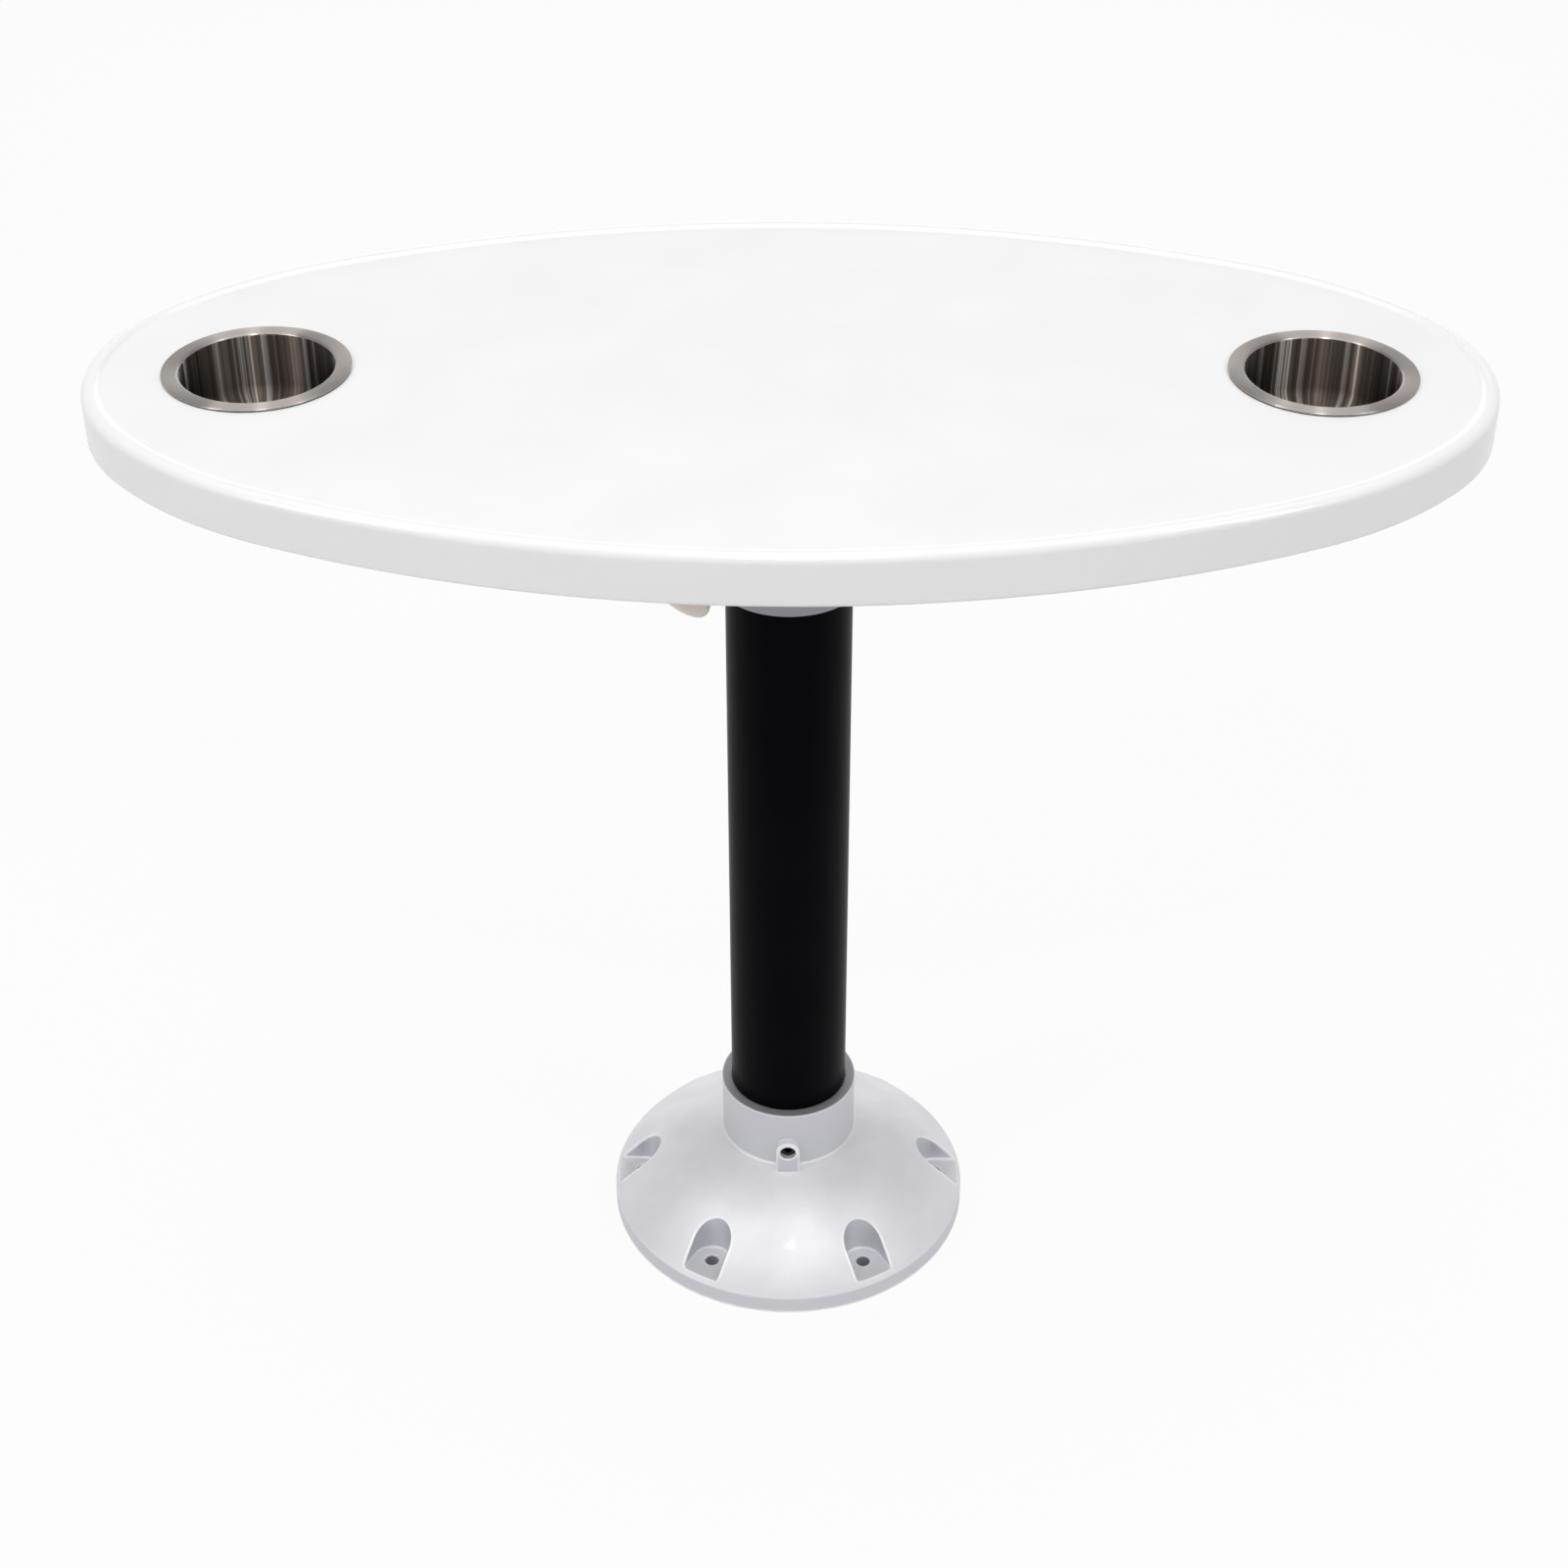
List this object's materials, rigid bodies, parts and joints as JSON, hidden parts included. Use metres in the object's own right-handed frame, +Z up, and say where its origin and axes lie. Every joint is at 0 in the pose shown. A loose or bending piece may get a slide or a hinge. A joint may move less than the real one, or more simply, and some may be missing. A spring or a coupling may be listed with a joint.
{
  "type": "adjustable boat table",
  "caption": "Oval white table with cup holders on a telescoping black post that a cam lever clamps, in a domed cast-aluminium floor base.",
  "frame": {"origin": "on the floor, in the middle of the base's underside and on the post's axis", "axes": "+Z up, +X along the oval's length, -Y towards the side that the set screw faces"},
  "size_m": [0.7618, 0.4062, 0.6013],
  "materials": {
    "cast_aluminium": "fine blasted casting",
    "black_tube": "satin black anodised coat",
    "collar_alloy": "satin machined alloy",
    "mount_alloy": "fine blasted casting",
    "anodised_tube": "clear anodised drawn tube",
    "nylon": "black moulded nylon",
    "zinc_steel": "bright zinc plate",
    "spring_steel": "oiled spring steel",
    "black_steel": "black oxide",
    "cream_plastic": "cream moulded plastic",
    "white_shell": "gloss white moulded skin",
    "white_panel": "satin white panel",
    "core_board": "marine plywood",
    "stainless": "drawn stainless steel",
    "black_rubber": "black foam rubber"
  },
  "bodies": {
    "base": {"floor_base": "cast_aluminium", "base_set_screw": "black_steel", "outer_post": "black_tube", "clamp_collar": "collar_alloy", "clamp_bush": "nylon", "clamp_bolt": "zinc_steel", "clamp_nut": "zinc_steel", "cam_washer": "zinc_steel", "lever_pin": "zinc_steel"},
    "glide": {"lower_glide": "nylon"},
    "top": {"inner_post": "anodised_tube", "glide_circlips": "spring_steel", "table_mount": "mount_alloy", "mount_screws": "zinc_steel", "mount_set_screws": "black_steel", "top_shell": "white_shell", "core_board": "core_board", "backing_panel": "white_panel", "left_cup_holder": "stainless", "right_cup_holder": "stainless", "left_cup_gasket": "black_rubber", "right_cup_gasket": "black_rubber"},
    "lever": {"clamp_lever": "cream_plastic"}
  },
  "joints": [
    {"name": "height_slide", "type": "slide", "parent": "base", "child": "glide", "axis": [0, 0, 1], "range_m": [0, 0.165]},
    {"name": "top_swivel", "type": "hinge", "parent": "glide", "child": "top", "pos_m": [0, 0, 0.5], "axis": [0, 0, 1], "continuous": true},
    {"name": "lever_swing", "type": "hinge", "parent": "base", "child": "lever", "pos_m": [-0.0324, 0.05205, 0.4905], "axis": [0, 0, -1], "range_deg": [0, 90]}
  ]
}
